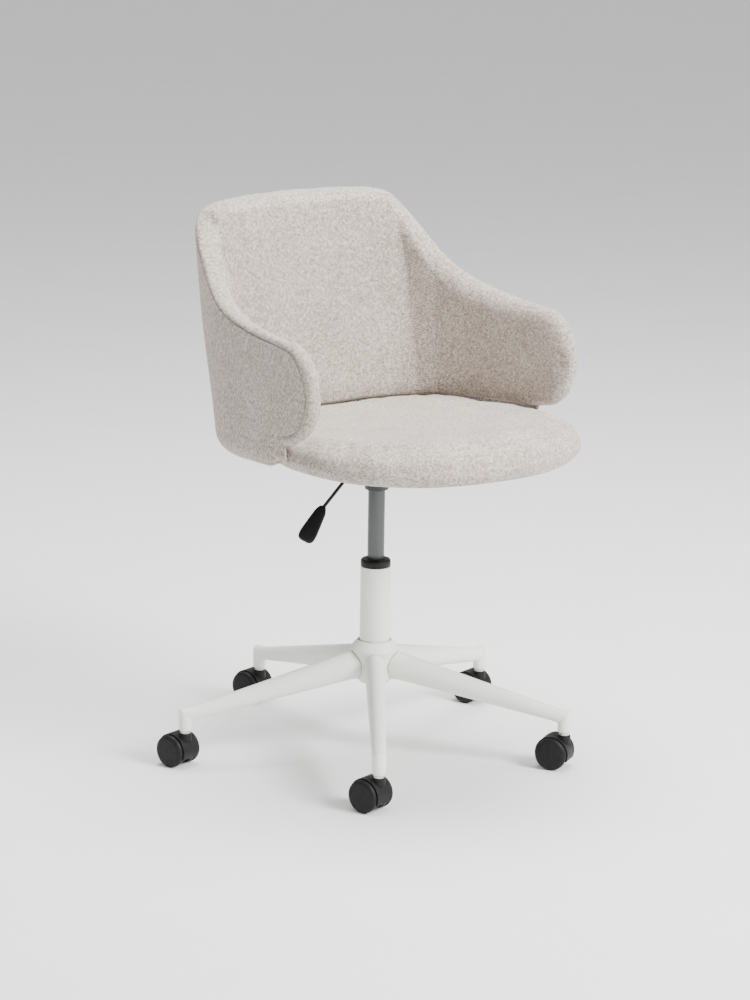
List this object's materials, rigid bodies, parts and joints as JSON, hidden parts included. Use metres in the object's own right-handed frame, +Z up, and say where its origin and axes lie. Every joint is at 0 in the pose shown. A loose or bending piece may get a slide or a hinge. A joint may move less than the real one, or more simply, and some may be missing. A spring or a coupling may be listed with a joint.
{
  "type": "swivel desk chair",
  "caption": "Upholstered swivel desk chair with a wrap-around back and arms, height-adjustable gas lift and a five-star base on twin-wheel casters.",
  "frame": {"origin": "on the floor below the middle of the chair's bounding box, 3 mm and 10 mm from the lift column's axis", "axes": "+Z up, -Y the way the seat faces, +X to the left of a person sitting in it"},
  "size_m": [0.6862, 0.7312, 0.9195],
  "materials": {
    "powder_coat": "satin off-white powder coat",
    "satin_metal": "satin grey gas cylinder",
    "steel": "plain zinc-plated steel",
    "black_metal": "black painted steel",
    "black_plastic": "satin black moulded plastic",
    "wheel_plastic": "satin black wheel nylon",
    "plywood": "moulded plywood, hidden",
    "fabric": "heathered beige woven upholstery over foam"
  },
  "bodies": {
    "base": {"base_hub": "powder_coat", "leg_1": "powder_coat", "leg_2": "powder_coat", "leg_3": "powder_coat", "leg_4": "powder_coat", "leg_5": "powder_coat", "column_tube": "powder_coat", "guide_bush": "black_plastic", "thrust_bearing": "steel", "caster_1_stem": "steel", "caster_2_stem": "steel", "caster_3_stem": "steel", "caster_4_stem": "steel", "caster_5_stem": "steel"},
    "spindle": {"piston_rod": "steel", "retaining_clip": "steel"},
    "seat": {"gas_cylinder": "satin_metal", "rod_gland": "black_plastic", "taper_socket": "black_metal", "mechanism_housing": "black_metal", "lever_pivot_pin": "steel", "seat_plate": "black_metal", "plate_bolt_1": "steel", "plate_bolt_2": "steel", "plate_bolt_3": "steel", "plate_bolt_4": "steel", "seat_board": "plywood", "seat_under_cover": "fabric", "seat_cushion": "fabric", "shell_core": "plywood", "shell_outer_cover": "fabric", "back_pad": "fabric", "arm_pad_left": "fabric", "arm_pad_right": "fabric"},
    "lever": {"lever_rod": "black_metal", "lever_handle": "black_plastic"},
    "button": {"release_button": "steel"},
    "caster_1": {"caster_1_hood": "black_plastic", "caster_1_axle": "steel"},
    "caster_1_wheel_left": {"caster_1_wheel_left": "wheel_plastic"},
    "caster_1_wheel_right": {"caster_1_wheel_right": "wheel_plastic"},
    "caster_2": {"caster_2_hood": "black_plastic", "caster_2_axle": "steel"},
    "caster_2_wheel_left": {"caster_2_wheel_left": "wheel_plastic"},
    "caster_2_wheel_right": {"caster_2_wheel_right": "wheel_plastic"},
    "caster_3": {"caster_3_hood": "black_plastic", "caster_3_axle": "steel"},
    "caster_3_wheel_left": {"caster_3_wheel_left": "wheel_plastic"},
    "caster_3_wheel_right": {"caster_3_wheel_right": "wheel_plastic"},
    "caster_4": {"caster_4_hood": "black_plastic", "caster_4_axle": "steel"},
    "caster_4_wheel_left": {"caster_4_wheel_left": "wheel_plastic"},
    "caster_4_wheel_right": {"caster_4_wheel_right": "wheel_plastic"},
    "caster_5": {"caster_5_hood": "black_plastic", "caster_5_axle": "steel"},
    "caster_5_wheel_left": {"caster_5_wheel_left": "wheel_plastic"},
    "caster_5_wheel_right": {"caster_5_wheel_right": "wheel_plastic"}
  },
  "joints": [
    {"name": "seat_swivel", "type": "hinge", "parent": "base", "child": "spindle", "pos_m": [0.003, -0.01, 0.1273], "axis": [0, 0, 1], "continuous": true},
    {"name": "seat_height", "type": "slide", "parent": "spindle", "child": "seat", "axis": [0, 0, 1], "range_m": [-0.1, 0]},
    {"name": "lever_lift", "type": "hinge", "parent": "seat", "child": "lever", "pos_m": [-0.017, -0.01, 0.509], "axis": [0, 1, 0], "range_deg": [0, 7], "stiffness_Nm_per_rad": 2, "springref_deg": -5.73},
    {"name": "release_button_press", "type": "slide", "parent": "seat", "child": "button", "axis": [0, 0, -1], "range_m": [0, 0.0032]},
    {"name": "caster_1_swivel", "type": "hinge", "parent": "base", "child": "caster_1", "pos_m": [0.003, 0.3175, 0.0598], "axis": [0, 0, 1], "continuous": true},
    {"name": "caster_1_wheel_left_spin", "type": "hinge", "parent": "caster_1", "child": "caster_1_wheel_left", "pos_m": [-0.00101, 0.33299, 0.027], "axis": [0.9681, 0.2504, 0], "continuous": true},
    {"name": "caster_1_wheel_right_spin", "type": "hinge", "parent": "caster_1", "child": "caster_1_wheel_right", "pos_m": [-0.00101, 0.33299, 0.027], "axis": [0.9681, 0.2504, 0], "continuous": true},
    {"name": "caster_2_swivel", "type": "hinge", "parent": "base", "child": "caster_2", "pos_m": [-0.30847, 0.0912, 0.0598], "axis": [0, 0, 1], "continuous": true},
    {"name": "caster_2_wheel_left_spin", "type": "hinge", "parent": "caster_2", "child": "caster_2_wheel_left", "pos_m": [-0.31248, 0.10669, 0.027], "axis": [0.9681, 0.2504, 0], "continuous": true},
    {"name": "caster_2_wheel_right_spin", "type": "hinge", "parent": "caster_2", "child": "caster_2_wheel_right", "pos_m": [-0.31248, 0.10669, 0.027], "axis": [0.9681, 0.2504, 0], "continuous": true},
    {"name": "caster_3_swivel", "type": "hinge", "parent": "base", "child": "caster_3", "pos_m": [-0.1895, -0.27495, 0.0598], "axis": [0, 0, 1], "continuous": true},
    {"name": "caster_3_wheel_left_spin", "type": "hinge", "parent": "caster_3", "child": "caster_3_wheel_left", "pos_m": [-0.19351, -0.25946, 0.027], "axis": [0.9681, 0.2504, 0], "continuous": true},
    {"name": "caster_3_wheel_right_spin", "type": "hinge", "parent": "caster_3", "child": "caster_3_wheel_right", "pos_m": [-0.19351, -0.25946, 0.027], "axis": [0.9681, 0.2504, 0], "continuous": true},
    {"name": "caster_4_swivel", "type": "hinge", "parent": "base", "child": "caster_4", "pos_m": [0.1955, -0.27495, 0.0598], "axis": [0, 0, 1], "continuous": true},
    {"name": "caster_4_wheel_left_spin", "type": "hinge", "parent": "caster_4", "child": "caster_4_wheel_left", "pos_m": [0.1875, -0.2611, 0.027], "axis": [0.866, 0.5, 0], "continuous": true},
    {"name": "caster_4_wheel_right_spin", "type": "hinge", "parent": "caster_4", "child": "caster_4_wheel_right", "pos_m": [0.1875, -0.2611, 0.027], "axis": [0.866, 0.5, 0], "continuous": true},
    {"name": "caster_5_swivel", "type": "hinge", "parent": "base", "child": "caster_5", "pos_m": [0.31447, 0.0912, 0.0598], "axis": [0, 0, 1], "continuous": true},
    {"name": "caster_5_wheel_left_spin", "type": "hinge", "parent": "caster_5", "child": "caster_5_wheel_left", "pos_m": [0.31046, 0.10669, 0.027], "axis": [0.9681, 0.2504, 0], "continuous": true},
    {"name": "caster_5_wheel_right_spin", "type": "hinge", "parent": "caster_5", "child": "caster_5_wheel_right", "pos_m": [0.31046, 0.10669, 0.027], "axis": [0.9681, 0.2504, 0], "continuous": true}
  ],
  "couplings": [
    {"joint": "release_button_press", "follows": "lever_lift", "m_per_rad": 0.025}
  ]
}
